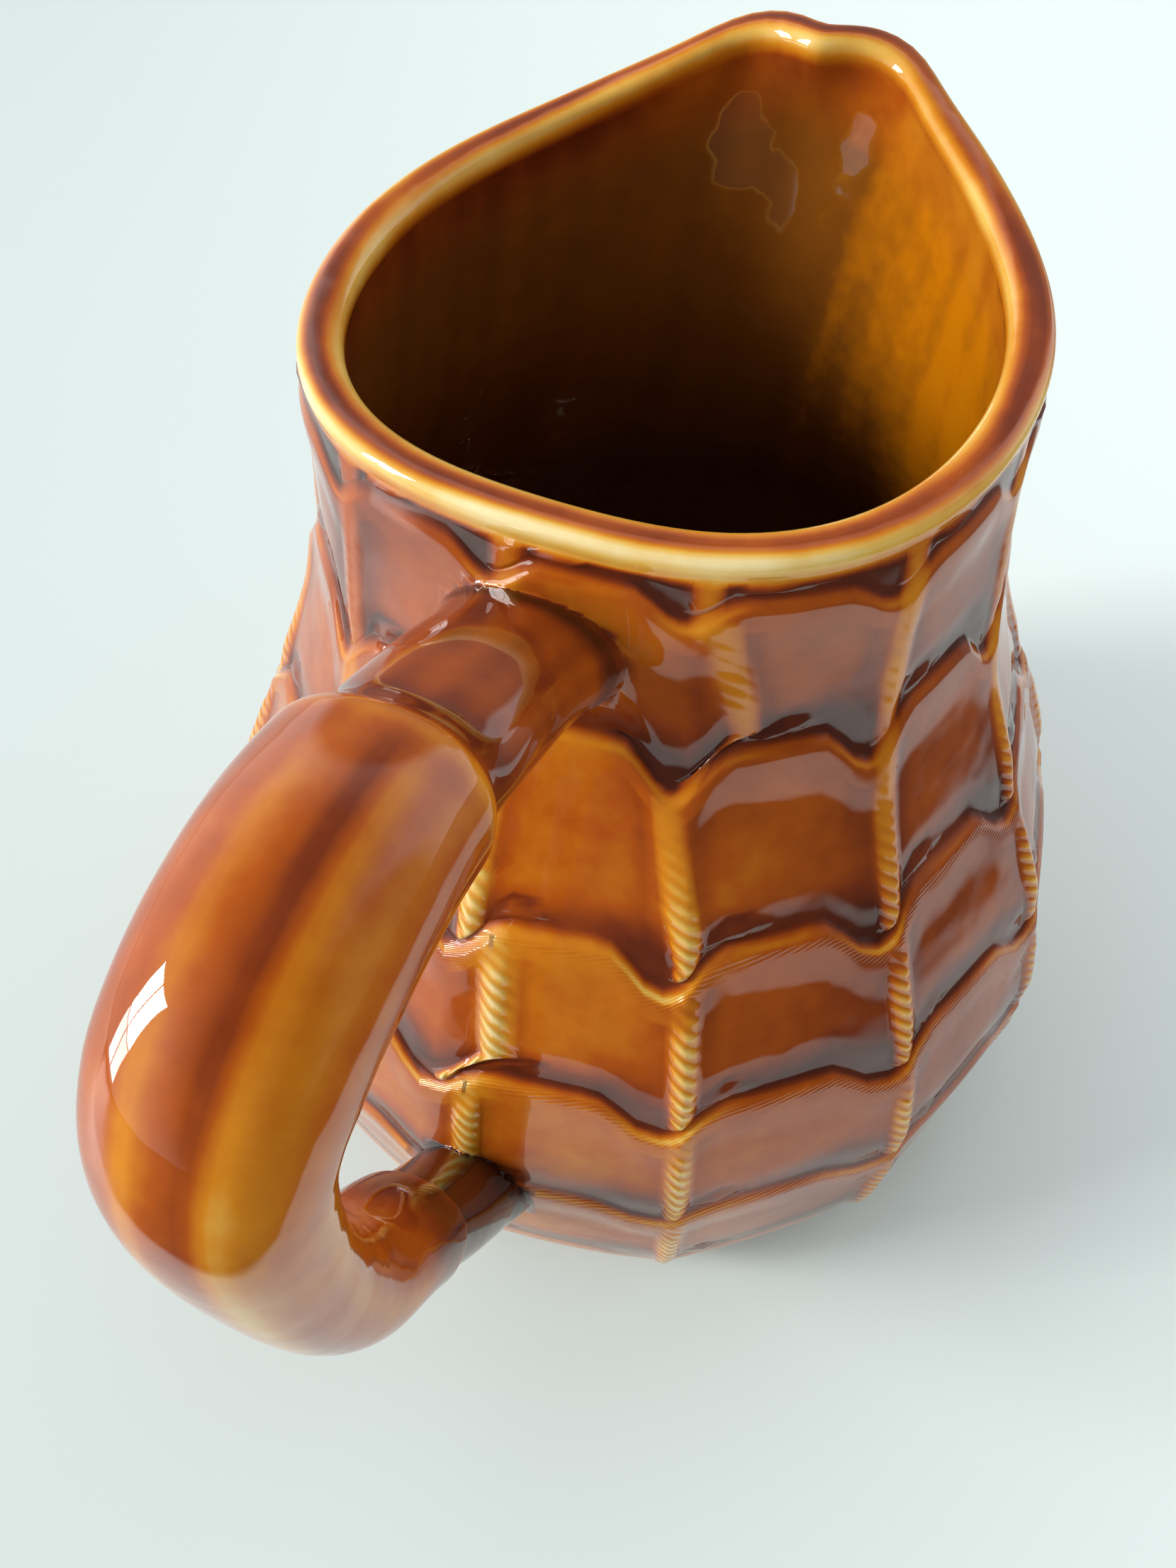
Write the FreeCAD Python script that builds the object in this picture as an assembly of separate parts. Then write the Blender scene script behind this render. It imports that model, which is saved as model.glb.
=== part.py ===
"""Earthenware pitcher: a pear-shaped jug moulded as a rope net over overlapping courses.

The origin is the centre of the foot on the table. +Z is up, +X points to the spout and the
handle stands on the -X side. Millimetres; angles run anticlockwise from +X.
"""
import FreeCAD, Part
import math
import os

from FreeCAD import Vector

os.makedirs("parts", exist_ok=True)

# ---- body: wall radius at the foot and at each lip of the net, and the height of each course ----
FOOT_RADIUS = 62.0
BASE_RADIUS, BASE_COURSE = 75.6, 16.5
BELLY_RADIUS, BELLY_COURSE = 77.8, 28.5
SHOULDER_RADIUS, SHOULDER_COURSE = 72.6, 28.0
WAIST_RADIUS, WAIST_COURSE = 61.5, 27.7
NECK_RADIUS, NECK_COURSE = 51.6, 32.3
COLLAR_RADIUS, COLLAR_COURSE = 49.2, 25.0
RIM_RADIUS, RIM_BAND = 48.6, 7.0
WALL = 5.2
FLOOR = 6.5
FOOT_RING = 6.0        # width of the ring the jug stands on
FOOT_RECESS = 1.4      # how far the underside is hollowed inside that ring
HEEL_RADIUS, HEEL_SHARE = 69.6, 0.35   # the heel swells to this at this share of the base course
INNER_CORNER = 16.0    # size of the round corner between the inner wall and the floor

# ---- mouth: a teardrop, drawn out to a blunt spout with two corners ----
MOUTH_RADIUS = 48.4                                  # mean radius of the crest of the rim
MOUTH_WAVES = ((1, 5.6), (2, 2.8), (3, 2.5), (5, 0.5))  # what each cosine adds to it
RIM_WIDTH = 5.6
RIM_TILT = 2.0         # the rim climbs this much from the handle to the spout
SPOUT_LIFT, SPOUT_SPREAD = 9.4, 26.0
SPOUT_CORNER, SPOUT_CORNER_ANGLE, SPOUT_CORNER_SPREAD = 3.4, 10.5, 7.5
SPOUT_NOTCH, SPOUT_NOTCH_SPREAD = 1.6, 4.0
LEAN_DEPTH = 70.0      # how far below the rim the mouth's shape fades into the round body
CORNER_DEPTH = 24.0    # how far down the spout's corners run

# ---- net: ropes up and down, lips all round that dip at each rope ----
PANELS = 12
ROPE_TURN = -3.94      # angle from the handle's plane to the rope beside it
PANEL_FLATNESS = 0.6   # 0 is round, 1 is flat from rope to rope
ROPE_WIDTH = 4.6
ROPE_HEIGHT = 2.3
# hand-trimmed ropes beside the handle: (rope, course) and how far each stretch stands to the
# right of its line at its top and at its bottom. Rope 0 is behind the handle, course 0 the base.
ROPE_JOGS = {(0, 1): (-1.0, -3.0), (0, 2): (4.0, 5.0), (0, 3): (4.0, 7.8),
             (1, 4): (-4.0, 0.5), (1, 5): (1.6, 7.0)}
JOG_EASE = 0.1         # share of a course over which such a stretch comes back to the rope's line
LIP_OUT = 1.9
LIP_SWELL = 6.5        # height under a lip's crest over which the wall swells out to it
CREST = 0.6            # the crest's own height
GROOVE_DEPTH = 1.3
GROOVE_HEIGHT = 4.2
BASE_DIP, BELLY_DIP, SHOULDER_DIP, WAIST_DIP, NECK_DIP, COLLAR_DIP = 3.0, 4.5, 6.5, 7.0, 7.0, 4.0
DIP_LEAD, DIP_FALL, DIP_RISE = 0.10, 0.28, 0.30      # in panels, from the rope

# ---- handle: a strap with a thicker sleeve in the middle ----
UPPER_ROOT = 145.0
LOWER_ROOT = 39.0
# control points between the roots: share of the height between them, reach from their line
HANDLE_PATH = ((1.060, 11.6), (1.107, 28.9), (1.150, 45.0), (1.146, 56.9), (1.102, 67.8),
               (1.020, 72.7), (0.880, 68.9), (0.697, 61.8), (0.519, 52.5), (0.401, 43.3),
               (0.330, 31.4), (0.183, 19.4))
STUB_WIDTH = 22.0
ROOT_FLARE = 1.6
GRIP_WIDTH = 26.8
TAIL_WIDTH = 20.0
TAIL_STUB_WIDTH = 18.0
HANDLE_THICKNESS = 0.84    # of its width
SLEEVE_START = 38.0        # along the path from the upper root
SLEEVE_END = 36.0          # before the lower root
ROOT_TURN = 14.0           # length over which the strap turns to meet the wall squarely
SECTION_POWER = 2.25       # 2 is an ellipse, more is squarer

RING_POLES = 24
ROPE_STATIONS = (0.0, 0.21, 0.42, 0.76)   # where a rope is shaped, in rope widths from its middle
PANEL_STATIONS = (0.42, 0.72)             # where a panel is shaped, as a share of half its width
LIPS = []
height = 0.0
for course, radius, dip in ((BASE_COURSE, BASE_RADIUS, BASE_DIP),
                            (BELLY_COURSE, BELLY_RADIUS, BELLY_DIP),
                            (SHOULDER_COURSE, SHOULDER_RADIUS, SHOULDER_DIP),
                            (WAIST_COURSE, WAIST_RADIUS, WAIST_DIP),
                            (NECK_COURSE, NECK_RADIUS, NECK_DIP),
                            (COLLAR_COURSE, COLLAR_RADIUS, COLLAR_DIP)):
    height += course
    LIPS.append((height, radius, dip))
RIM_HEIGHT = height + RIM_BAND
HEEL_HEIGHT = HEEL_SHARE * BASE_COURSE
PROFILE = ([(0.0, FOOT_RADIUS), (HEEL_HEIGHT, HEEL_RADIUS)]
           + [(z, r) for z, r, dip in LIPS] + [(RIM_HEIGHT, RIM_RADIUS)])


def blend(share):
    """A smooth step from 0 to 1."""
    share = min(max(share, 0.0), 1.0)
    return share * share * (3 - 2 * share)


def profile_radius(z):
    """Radius of the plain round body, on a monotone curve through the stations."""
    n = len(PROFILE)
    z = min(max(z, PROFILE[0][0]), PROFILE[-1][0])
    slope = [(PROFILE[i + 1][1] - PROFILE[i][1]) / (PROFILE[i + 1][0] - PROFILE[i][0])
             for i in range(n - 1)]
    tangent = [slope[0]]
    for a, b in zip(slope, slope[1:]):
        tangent.append(0.0 if a * b <= 0 else 2 * a * b / (a + b))
    tangent.append(slope[-1])
    i = max(k for k in range(n - 1) if z >= PROFILE[k][0])
    span = PROFILE[i + 1][0] - PROFILE[i][0]
    t = (z - PROFILE[i][0]) / span
    return ((2 * t**3 - 3 * t**2 + 1) * PROFILE[i][1] + (t**3 - 2 * t**2 + t) * span * tangent[i]
            + (3 * t**2 - 2 * t**3) * PROFILE[i + 1][1] + (t**3 - t**2) * span * tangent[i + 1])


def from_spout(angle):
    """Signed angle from the spout, in degrees."""
    return math.degrees(math.atan2(math.sin(angle), math.cos(angle)))


def corner_reach(angle):
    """What the spout's two corners and the notch between them add to the mouth."""
    off = abs(from_spout(angle))
    return (SPOUT_CORNER * math.exp(-((off - SPOUT_CORNER_ANGLE) / SPOUT_CORNER_SPREAD) ** 2)
            - SPOUT_NOTCH * math.exp(-(off / SPOUT_NOTCH_SPREAD) ** 2))


def mouth_radius(angle):
    """Crest of the rim without the spout's corners."""
    return MOUTH_RADIUS + sum(reach * math.cos(wave * angle) for wave, reach in MOUTH_WAVES)


def rim_height(angle):
    lift = SPOUT_LIFT * math.exp(-(from_spout(angle) / SPOUT_SPREAD) ** 2)
    return RIM_HEIGHT + RIM_TILT * (1 + math.cos(angle)) / 2 + lift


def plain_radius(angle, z):
    """Outside of the wall, with the mouth's shape but no net."""
    lean = blend((z - (RIM_HEIGHT - LEAN_DEPTH)) / LEAN_DEPTH)
    corner = blend((z - (rim_height(angle) - CORNER_DEPTH)) / CORNER_DEPTH)
    outside = mouth_radius(angle) + RIM_WIDTH / 2 - RIM_RADIUS
    return profile_radius(z) + lean * outside + corner * corner_reach(angle)


def from_rope(angle):
    """Signed distance to the nearest rope, in panels."""
    share = (math.degrees(angle) - 180 - ROPE_TURN) * PANELS / 360
    return share - round(share)


def faceted_radius(angle, z):
    """Outside of the wall with its flattened panels, which fade out at the foot and below the rim."""
    half = math.pi / PANELS
    off = abs(from_rope(angle)) * 2 * half
    chord = math.cos(half) / math.cos(half - off)
    flat = PANEL_FLATNESS * (1 - blend((z - (RIM_HEIGHT - 2.5 * RIM_BAND)) / (2 * RIM_BAND)))
    flat *= blend(z / HEEL_HEIGHT)
    return plain_radius(angle, z) * (1 - flat * (1 - chord))


def lip_height(number, angle):
    """Height of a lip: level between the ropes, dipping in a soft V beside each."""
    z, radius, dip = LIPS[number]
    deepest = 0.0
    for turn in (-1, 0, 1):
        off = from_rope(angle) + DIP_LEAD + turn
        reach = DIP_RISE if off > 0 else DIP_FALL
        if abs(off) < reach:
            deepest = 0.5 + 0.5 * math.cos(math.pi * off / reach)
    climb = blend((z - (RIM_HEIGHT - LEAN_DEPTH)) / LEAN_DEPTH)
    return z - dip * deepest + climb * (rim_height(angle) - RIM_HEIGHT)


def rope_angle(number):
    return math.pi + math.radians(ROPE_TURN) + number * 2 * math.pi / PANELS


def rope_jog(number, z):
    """How far a rope stands to one side of its line at this height, as an angle."""
    angle = rope_angle(number)
    for course in range(1, len(LIPS)):
        low, high = lip_height(course - 1, angle), lip_height(course, angle)
        if low < z < high and (number % PANELS, course) in ROPE_JOGS:
            top, bottom = ROPE_JOGS[number % PANELS, course]
            share = (z - low) / (high - low)
            ease = blend(min(share, 1 - share) / JOG_EASE)
            return ease * (bottom + share * (top - bottom)) / profile_radius(z)
    return 0.0


def rope_relief(angle, z, strength):
    """How far a rope stands out of the wall here."""
    number = round((math.degrees(angle) - 180 - ROPE_TURN) * PANELS / 360)
    off = abs(from_rope(angle) * 2 * math.pi / PANELS - rope_jog(number, z))
    return strength * ROPE_HEIGHT * (1 - blend(2 * off * plain_radius(angle, z) / ROPE_WIDTH))


def columns(height_at):
    """Angles at which a row shapes the wall: fine steps over each rope, then the panel beside it."""
    half = math.pi / PANELS
    angles = []
    for number in range(PANELS):
        here, after = rope_angle(number), rope_angle(number + 1)
        steps = [share * ROPE_WIDTH / profile_radius(height_at(here)) for share in ROPE_STATIONS]
        steps += [share * half for share in PANEL_STATIONS]
        jog, jog_after = rope_jog(number, height_at(here)), rope_jog(number + 1, height_at(after))
        angles += [here + step + jog * (1 - step / half) for step in steps] + [here + half]
        angles += [after - step + jog_after * (1 - step / half) for step in reversed(steps[1:])]
    return angles


def point(angle, radius, z):
    return Vector(radius * math.cos(angle), radius * math.sin(angle), z)


def wall_row(height_at, relief, rope=0.0):
    """One closed row of poles round the wall: a height for each angle and how far it stands out."""
    row = []
    for angle in columns(height_at):
        z = height_at(angle)
        row.append(point(angle, faceted_radius(angle, z) + relief + rope_relief(angle, z, rope), z))
    return row


def groove_row(number):
    return wall_row(lambda angle: lip_height(number, angle) + 0.5, -GROOVE_DEPTH, 0.3)


def lip_rows(number):
    """Up the swell under a lip, over its crest and down into the groove above it."""
    def under(drop):
        return lambda angle: lip_height(number, angle) - drop

    return [wall_row(under(0.66 * LIP_SWELL), 0.27 * LIP_OUT, 0.9),
            wall_row(under(0.33 * LIP_SWELL), 0.78 * LIP_OUT, 0.6),
            wall_row(under(CREST), 1.12 * LIP_OUT, 0.4),
            wall_row(under(-0.5 * CREST), 0.55 * LIP_OUT, 0.3),
            groove_row(number)]


def course_rows(number):
    """Rows of one course, from the groove over the lip below to the groove over its own lip."""
    def above(rise):
        return lambda angle: lip_height(number - 1, angle) + rise

    def between(share):
        low = above(1.25 * GROOVE_HEIGHT)
        return lambda angle: low(angle) + share * (lip_height(number, angle) - LIP_SWELL - low(angle))

    rows = [groove_row(number - 1),
            wall_row(above(0.40 * GROOVE_HEIGHT), -0.95 * GROOVE_DEPTH, 0.7),
            wall_row(above(0.80 * GROOVE_HEIGHT), -0.35 * GROOVE_DEPTH, 1.0)]
    rows += [wall_row(between(share), 0.0, 1.0) for share in (0.0, 0.25, 0.5, 0.75, 1.0)]
    return rows + lip_rows(number)


def heel_rows():
    """From the foot, out over the heel, to the groove over the lowest lip."""
    rows = [wall_row(lambda angle: 0.0, 0.0)]
    for share in (0.10, 0.26, 0.42):
        rows.append(wall_row(lambda angle, share=share: share * lip_height(0, angle), 0.0, share))
    return rows + lip_rows(0)


def rim_rows():
    """From the highest groove out over the rolled rim and onto the inner wall."""
    last = len(LIPS) - 1
    rows = [groove_row(last)]
    rows.append(wall_row(lambda angle: lip_height(last, angle) + 0.2 * RIM_BAND, -0.8 * GROOVE_DEPTH, 0.7))
    rows.append(wall_row(lambda angle: lip_height(last, angle) + 0.45 * RIM_BAND, -0.3 * GROOVE_DEPTH, 1.0))
    # (outward from the crest as a share of half the rim's width, below the crest)
    for out, drop in ((0.90, 3.1), (1.10, 2.0), (1.12, 0.9), (0.80, 0.0), (0.25, 0.0),
                      (-0.35, 0.1), (-0.85, 0.5), (-1.05, 1.6), (-1.02, 3.4)):
        row = []
        for angle in columns(rim_height):
            crest = mouth_radius(angle) + corner_reach(angle)
            row.append(point(angle, crest + out * RIM_WIDTH / 2, rim_height(angle) - drop))
        rows.append(row)
    return rows


def inner_rows(first):
    """Down the plain inner wall and round its corner to the edge of the flat floor."""
    rows = [first]
    floor_radius = profile_radius(FLOOR + 0.6 * INNER_CORNER) - WALL
    for share in (0.04, 0.13, 0.24, 0.36, 0.48, 0.60, 0.72, 0.84, 0.93, 1.0):
        row = []
        for angle in columns(rim_height):
            top = rim_height(angle) - 5.0
            z = top + share * (FLOOR + INNER_CORNER - top)
            row.append(point(angle, plain_radius(angle, z) - WALL, z))
        rows.append(row)
    for rise, inset in ((0.52, 0.03), (0.22, 0.14), (0.05, 0.36), (0.0, 0.65), (0.0, 1.0)):
        rows.append([point(angle, floor_radius - inset * INNER_CORNER, FLOOR + rise * INNER_CORNER)
                     for angle in columns(rim_height)])
    return rows


def skin(rows):
    """A smooth face over rows of poles, closed round each row."""
    across, along = len(rows[0]), len(rows)
    surface = Part.BSplineSurface()
    surface.buildFromPolesMultsKnots(
        [[row[k] for row in rows] for k in range(across)],
        [1] * (across + 1), [4] + [1] * (along - 4) + [4],
        [float(k) for k in range(across + 1)], [float(k) for k in range(along - 2)],
        True, False, 3, 3)
    return surface.toShape()


def closed_curve(row):
    """The edge that a skin ends on where its last row of poles is this one."""
    curve = Part.BSplineCurve()
    curve.buildFromPolesMultsKnots(row, [1] * (len(row) + 1),
                                   [float(k) for k in range(len(row) + 1)], True, 3)
    return curve.toShape()


def cap(row):
    return Part.Face(Part.Wire([closed_curve(row)]))


def solid_of(faces):
    shell = Part.makeShell(faces)
    shell.sewShape()
    solid = Part.makeSolid(Part.Shell(shell.Faces))
    if solid.Volume < 0:
        solid.reverse()
    return solid


def make_body():
    """Foot, heel, courses, rim and inner wall, joined on the rows that they share."""
    bands = [heel_rows()] + [course_rows(number) for number in range(1, len(LIPS))] + [rim_rows()]
    bands.append(inner_rows(bands[-1][-1]))
    faces = [skin(rows) for rows in bands]
    faces += [cap(bands[0][0]), cap(bands[-1][-1])]
    body = solid_of(faces)
    hollow = Part.makeCone(FOOT_RADIUS - FOOT_RING, FOOT_RADIUS - FOOT_RING - FOOT_RECESS, FOOT_RECESS)
    return body.cut(hollow)


def handle_curve():
    """Centre line of the handle in the jug's plane, from inside the wall to inside the wall."""
    upper = plain_radius(math.pi, UPPER_ROOT)
    lower = plain_radius(math.pi, LOWER_ROOT)
    poles = [Vector(WALL / 2 - upper, 0, UPPER_ROOT)]
    for share, reach in HANDLE_PATH:
        line = lower + (upper - lower) * share
        poles.append(Vector(-(line + reach), 0, LOWER_ROOT + (UPPER_ROOT - LOWER_ROOT) * share))
    poles.append(Vector(WALL / 2 - lower, 0, LOWER_ROOT))
    curve = Part.BSplineCurve()
    curve.buildFromPoles(poles, False, 3)
    return curve


def handle_stations(length):
    """(distance along the handle, width) at each row of its skin."""
    end = length - SLEEVE_END
    sleeve = end - SLEEVE_START
    return ([(0.0, STUB_WIDTH + 2 * ROOT_FLARE), (3.0, STUB_WIDTH + 1.6 * ROOT_FLARE),
             (7.0, STUB_WIDTH + 0.5 * ROOT_FLARE), (12.0, STUB_WIDTH), (20.0, STUB_WIDTH),
             (28.0, STUB_WIDTH), (SLEEVE_START - 3, STUB_WIDTH + 0.4),
             (SLEEVE_START - 1.0, STUB_WIDTH + 0.6), (SLEEVE_START, GRIP_WIDTH - 1.2),
             (SLEEVE_START + 1.2, GRIP_WIDTH - 0.6)]
            + [(SLEEVE_START + share * sleeve, width) for share, width in (
                (0.04, GRIP_WIDTH - 0.4), (0.10, GRIP_WIDTH), (0.18, GRIP_WIDTH), (0.27, GRIP_WIDTH - 0.6),
                (0.36, 0.6 * GRIP_WIDTH + 0.4 * TAIL_WIDTH), (0.46, 0.3 * GRIP_WIDTH + 0.7 * TAIL_WIDTH),
                (0.56, 0.1 * GRIP_WIDTH + 0.9 * TAIL_WIDTH), (0.66, TAIL_WIDTH), (0.76, TAIL_WIDTH),
                (0.86, TAIL_WIDTH), (0.94, TAIL_WIDTH + 0.2), (0.975, TAIL_WIDTH + 0.4))]
            + [(end - 0.8, TAIL_WIDTH + 0.3), (end + 0.3, TAIL_WIDTH - 0.4), (end + 1.2, TAIL_STUB_WIDTH),
               (end + 4, TAIL_STUB_WIDTH), (end + 0.35 * SLEEVE_END, TAIL_STUB_WIDTH),
               (end + 0.60 * SLEEVE_END, TAIL_STUB_WIDTH), (length - 8.0, TAIL_STUB_WIDTH + 0.4 * ROOT_FLARE),
               (length - 4.0, TAIL_STUB_WIDTH + 1.4 * ROOT_FLARE), (length, TAIL_STUB_WIDTH + 2 * ROOT_FLARE)])


def handle_row(curve, along, length, width):
    """A rounded section across the handle. It turns parallel to the wall at each root."""
    at = curve.parameterAtDistance(along)
    centre = curve.value(at)
    ahead = curve.tangent(at)[0]
    square = Vector(-1, 0, 0) if along < length / 2 else Vector(1, 0, 0)
    settle = blend(min(along, length - along) / ROOT_TURN)
    ahead = (square * (1 - settle) + ahead * settle).normalize()
    across = Vector(0, 1, 0)
    up = ahead.cross(across)
    row = []
    grow = 1 / (1 - (2 * math.pi / RING_POLES) ** 2 / 6)    # poles lie outside the curve they shape
    for k in range(RING_POLES):
        turn = 2 * math.pi * k / RING_POLES
        c, s = math.cos(turn), math.sin(turn)
        y = math.copysign(abs(c) ** (2 / SECTION_POWER), c) * width / 2 * grow
        z = math.copysign(abs(s) ** (2 / SECTION_POWER), s) * width / 2 * HANDLE_THICKNESS * grow
        row.append(centre + across * y + up * z)
    return row


def make_handle():
    curve = handle_curve()
    length = curve.length()
    rows = [handle_row(curve, min(along, length), length, width)
            for along, width in handle_stations(length)]
    return solid_of([skin(rows), cap(rows[0]), cap(rows[-1])])


pitcher = make_body().fuse(make_handle()).Solids[0]
box = pitcher.BoundBox
print("valid", pitcher.isValid(), "volume", round(pitcher.Volume))
print("size", round(box.XLength, 1), round(box.YLength, 1), round(box.ZLength, 1))
pitcher.exportStep("parts/pitcher.step")
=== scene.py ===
"""Looks of the earthenware pitcher: a treacle glaze over a moulded rope net.

The pitcher is one mesh, worked out here from the same named sizes as the construction model.
Shapes are worked out in millimetres with numpy and turned into metres at the end.
"""

import math

import bpy
import numpy as np
from mathutils import Matrix, Vector
from mathutils.kdtree import KDTree


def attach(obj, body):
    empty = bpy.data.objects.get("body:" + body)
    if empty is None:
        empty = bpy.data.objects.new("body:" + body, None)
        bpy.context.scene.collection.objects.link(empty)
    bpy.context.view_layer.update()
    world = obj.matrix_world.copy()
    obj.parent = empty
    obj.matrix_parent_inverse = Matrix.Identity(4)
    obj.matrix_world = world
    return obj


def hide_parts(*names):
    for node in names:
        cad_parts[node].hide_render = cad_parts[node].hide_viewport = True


MM = 0.001
WAVE_COUNT, WAVE_SPAN = 8, 3.6          # waves that make the unevenness, and what their sum is divided by

# Sizes are in millimetres and angles in degrees, unless a comment says otherwise.

# ---- body ----
FOOT_RADIUS = 62.0
# each course: its height, the wall's radius at its lip, and how far the lip dips beside a rope
COURSES = ((16.5, 75.6, 3.0), (28.5, 77.8, 4.5), (28.0, 72.6, 6.5),
           (27.7, 61.5, 7.0), (32.3, 51.6, 7.0), (25.0, 49.2, 4.0))
RIM_RADIUS, RIM_BAND = 48.6, 7.0        # the wall's radius at the rim, and the plain band under it
WALL, FLOOR = 5.2, 6.5
FLOOR_CORNER, CORNER_FROM = 16.0, 0.6   # its inner corner, and the share of it that sets the floor's edge
FOOT_RING, FOOT_RECESS = 6.0, 1.4
HEEL = (5.775, 69.6)                    # height and radius of the heel, just above the foot
WALL_UNEVEN, INSIDE_UNEVEN = 0.22, 0.30

# ---- mouth ----
MOUTH_RADIUS = 48.4
MOUTH_WAVES = ((1, 5.6), (2, 2.8), (3, 2.5), (5, 0.5))      # waves round the mouth, reach of each
RIM_WIDTH, RIM_TILT = 5.6, 2.0
RIM_START, RIM_STOP = 4.2, 4.6          # the rolled edge starts and stops this far under its top
SPOUT_LIFT, SPOUT_SPREAD = 9.35, 26.0
SPOUT_CORNER, SPOUT_CORNER_ANGLE, SPOUT_CORNER_SPREAD = 3.4, 10.5, 7.5
SPOUT_NOTCH, SPOUT_NOTCH_SPREAD = 1.6, 4.0
LEAN_DEPTH, CORNER_DEPTH = 70.0, 24.0   # the wall leans to the mouth's outline over these heights
BEAK, BEAK_SPREAD = 4.6, 30.0           # thickening of the wall inside the spout
CHANNEL, CHANNEL_TURN, CHANNEL_SPREAD = 2.5, 1.0, 5.0       # the groove in its middle
# how each sets in and runs out, going down: full after, less from, gone over
BEAK_RUN, CHANNEL_RUN = (30.0, 36.0, 50.0), (4.0, 12.0, 24.0)

# ---- net ----
PANELS = 12
ROPE_TURN = -3.94
PANEL_FLATNESS = 0.6                    # 0 is round, 1 is flat between two ropes
ROUND_FROM, ROUND_OVER = 2.5, 2.0       # in rim bands: the panels turn round this far under the rim
ROPE_HALF, ROPE_HEIGHT, ROPE_ROUNDNESS = 2.3, 1.15, 0.75
# (rope, course): how far a stretch of rope stands to the right of its line, at its top and bottom
ROPE_JOGS = {(0, 1): (-1.0, -3.0), (0, 2): (4.0, 5.0), (0, 3): (4.0, 7.8),
             (1, 4): (-4.0, 0.5), (1, 5): (1.6, 7.0)}
JOG_EASE = 0.1                          # share of a course over which such a stretch sets in
ROPE_FOOT, ROPE_FOOT_RISE = -1.0, 3.0   # a rope rises from here over each lip
HEEL_FADE = 9.0                         # and from the table over this height
ROPE_UNDER_LIP, ROPE_UNDER_RIM = (-8.5, 6.0, 0.75), (-7.0, 5.0, 0.80)    # it sinks again: start, length, loss
CREST_ROPE_LOSS, CREST_ROPE_OVER = 0.5, 1.5          # it is lower again over a crest
NECK_START, NECK_OVER, NECK_ROPE_LOSS = 96.0, 24.0, 0.72     # and on the neck
NECK_PLAIN_START, NECK_PLAIN_OVER, NECK_PLAIN_LOSS = 104.0, 20.0, 0.7    # where its strands fade as well
LIP_OUT, LIP_SWELL = 0.78, 9.0          # how far a lip stands out, and how far below it the wall swells
LIP_SHARES = (0.35, 0.9, 1.0, 1.0, 0.9, 0.6)         # how boldly each lip stands out
GROOVE_DEPTH, GROOVE_TOP = 0.45, 9.0
CREST_LOW, CREST_HIGH = -1.0, 2.6       # the wall turns over the crest between these heights
DIP_LEAD, DIP_FALL, DIP_RISE = 0.10, 0.28, 0.30      # in panels
ARCH_ACROSS, ARCH_OVER = 6.4, 0.8       # middle of the little arch beside a rope's foot
ARCH_HALF_WIDTH, ARCH_HEIGHT, ARCH_RISE = 3.9, 5.0, 0.7
ARCH_FLAT, ARCH_EDGE, ARCH_LINE = 0.55, 0.4, 0.13    # as shares: its flat middle, its edge, the line round it
STRAND_PITCH, STRAND_DEPTH, STRAND_SLANT = 2.6, 0.15, 0.75
LIP_STRAND_DEPTH = 0.03

# ---- handle ----
UPPER_ROOT, LOWER_ROOT = 145.0, 39.0
HANDLE_PATH = ((1.060, 11.6), (1.107, 28.9), (1.150, 45.0), (1.146, 56.9), (1.102, 67.8),
               (1.020, 72.7), (0.880, 68.9), (0.697, 61.8), (0.519, 52.5), (0.401, 43.3),
               (0.330, 31.4), (0.183, 19.4))
STUB_WIDTH, GRIP_WIDTH, TAIL_WIDTH, TAIL_STUB_WIDTH = 22.0, 26.6, 19.8, 18.0
ROOT_FLARE = 1.6
HANDLE_THICKNESS, STUB_THINNING = 0.825, 0.12        # as shares of the width
SLEEVE_START, SLEEVE_END = 38.0, 36.0   # from the upper root, and from the lower
SECTION_POWER = 2.25                    # 2 is an ellipse, more is squarer
HANDLE_SHIFT = 0.5                      # keeps its back inside the solid's
ROOT_TURN = 14.0                        # it turns from square to the wall to its own path over this length
HANDLE_UNEVEN = 0.12
RING_POINTS, RING_SPACING = 72, 1.3     # points round the strap, and distance between its rings
STEP_RINGS = (-2.6, 3.2, 0.4)           # extra rings at each end of the sleeve: from, to, apart
WIDTH_STEP, WIDTH_SMOOTHING = 0.2, 4    # its width is smoothed over this many steps to each side

# ---- glaze on the outer wall: a depth of 0 is the thinnest and 1 the deepest ----
PANEL_DEPTH, DEEPEST = 0.472, 0.82
POOL_DEPTH, POOL_FROM, POOL_REACH = 0.60, 1.8, 4.2   # it pools over each lip, from this height up
POOL_AT_ROPE, POOL_IN_DIP = 2.6, 0.8                 # higher at a panel's right end and in a dip
POOL_LEAST, POOL_UNEVEN, POOL_ROPE_GAIN = 0.50, 0.16, 0.40
POOL_OVER, POOL_OVER_RISE = 0.6, 1.6                 # the pool already starts over the crest
RIGHT_END, RIGHT_END_WIDTH = 0.18, 0.15              # in panels, left of a rope
HALO_DEPTH, HALO_TOP = 0.10, -4.0                    # deeper along both sides of a rope, up to here
HALO_OUT, HALO_WIDTH, HALO_SHIFT = 3.6, 1.7, 0.5
CREST_THINNING, CREST_AT, CREST_WIDTH = 0.30, 0.1, 0.45      # the golden line on a lip
CREST_LEAST, CREST_IN_DIP, CREST_UNEVEN = 0.18, 0.60, 0.35
ARCH_LINE_DEPTH, ARCH_THINNING = 0.18, 0.06
ROPE_DEPTH = 0.40                                    # no deeper than this on a rope
COLUMN_SHARE, COLUMN_DEPTH = 0.75, 0.30              # the plain ropes of the neck
GOLD_ROPES, GOLD_WIDTH, GOLD_TOP = (0.15, 0.05), 3.6, 110.0  # the first two ropes are thinly glazed
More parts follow.
